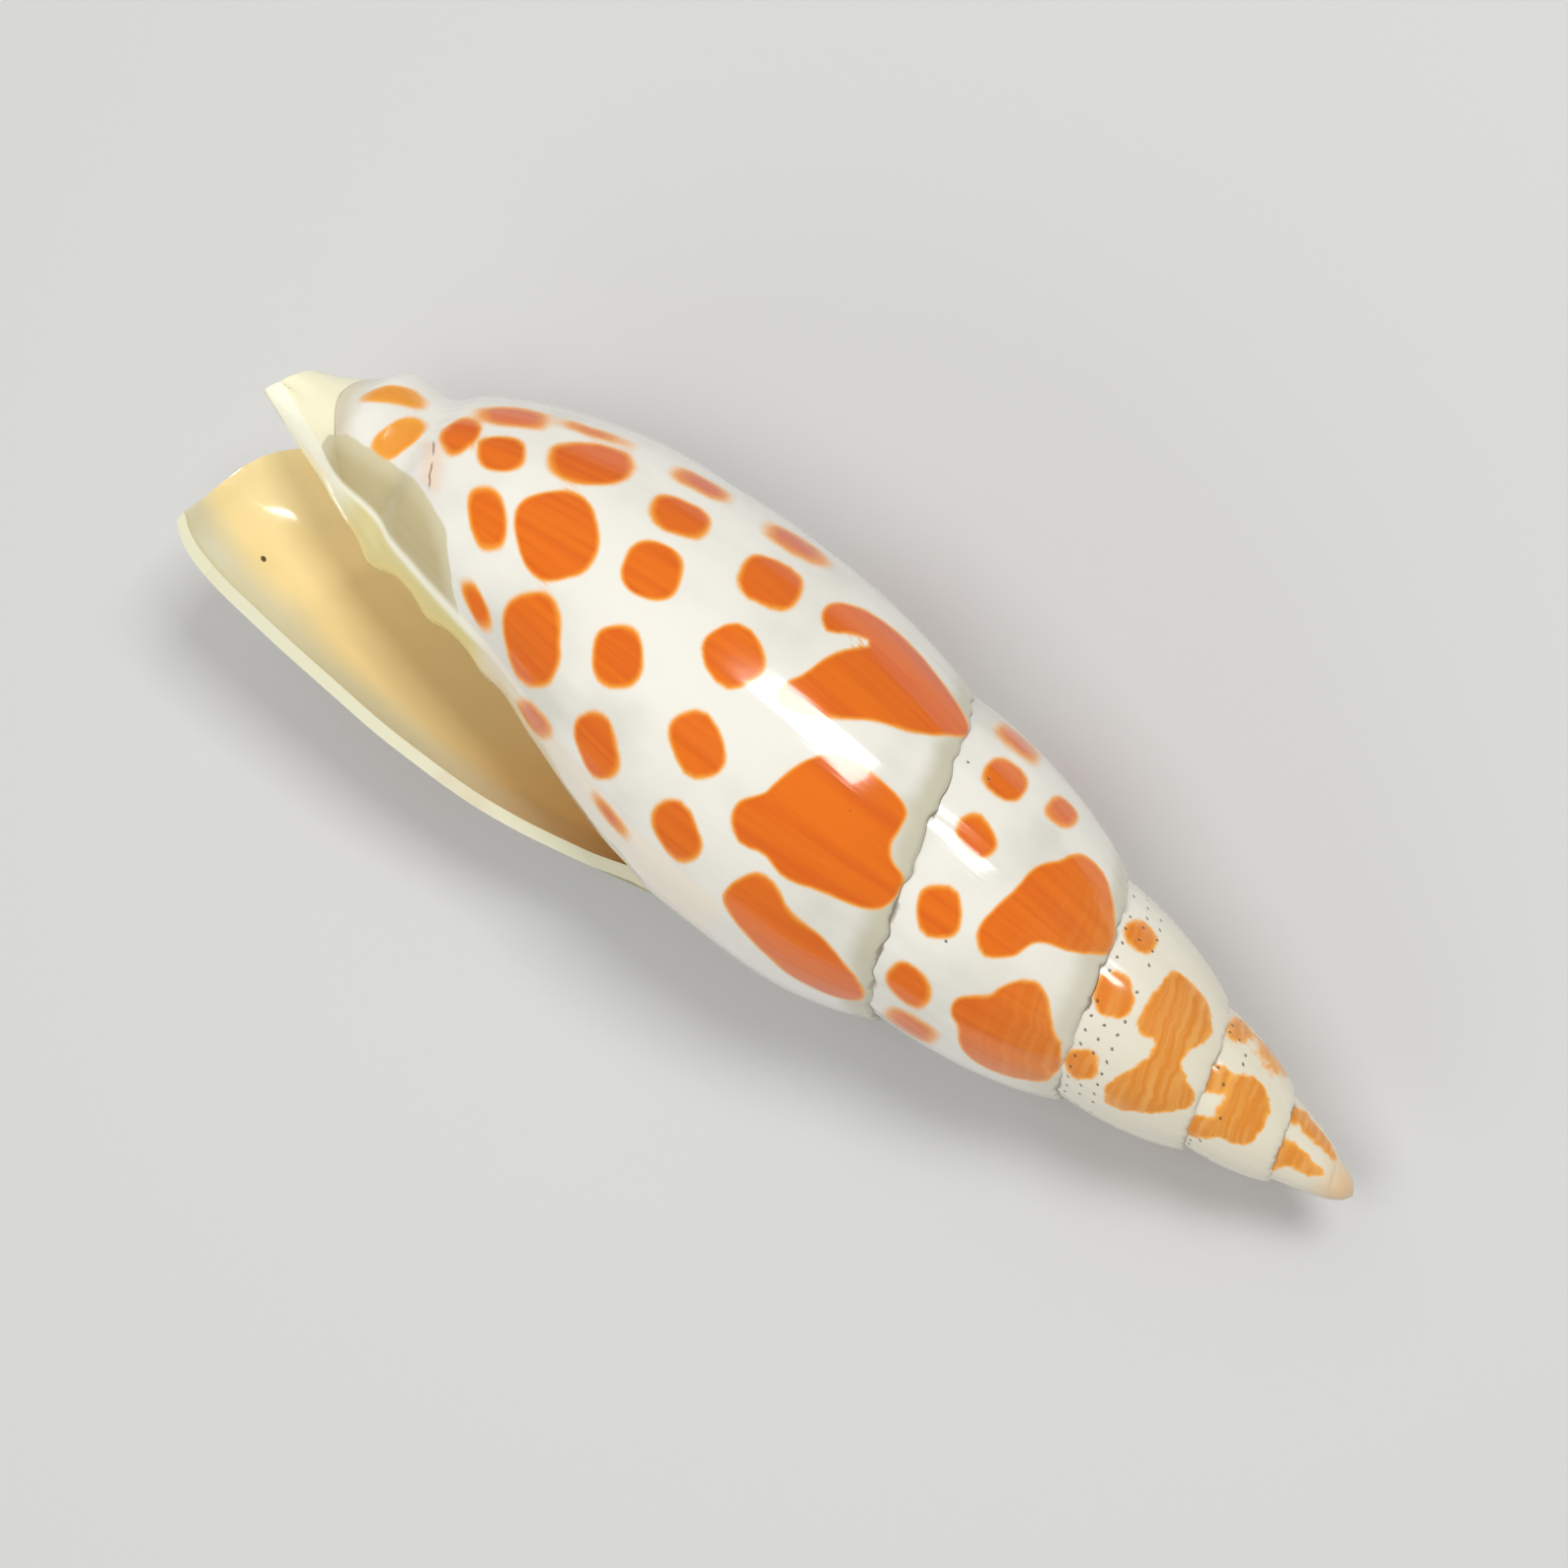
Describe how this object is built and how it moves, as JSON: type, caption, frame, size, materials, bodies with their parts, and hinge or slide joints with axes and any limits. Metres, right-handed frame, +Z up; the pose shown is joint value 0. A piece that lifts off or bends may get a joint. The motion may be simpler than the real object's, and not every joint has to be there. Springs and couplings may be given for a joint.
{
  "type": "mitre shell",
  "caption": "Slender right-handed spiral sea shell with a long open mouth and pleated pillar, glossy white with orange patches, lying on its back.",
  "frame": {"origin": "bottom centre of the shell's box as it lies, on the surface it rests on", "axes": "+X along the shell towards its pointed tip, +Z up, the mouth opening up and towards -Y"},
  "size_m": [0.1098, 0.0346, 0.0311],
  "materials": {
    "enamel": "glossy natural shell, off-white with orange patches"
  },
  "bodies": {
    "root": {"shell": "enamel"}
  },
  "joints": []
}
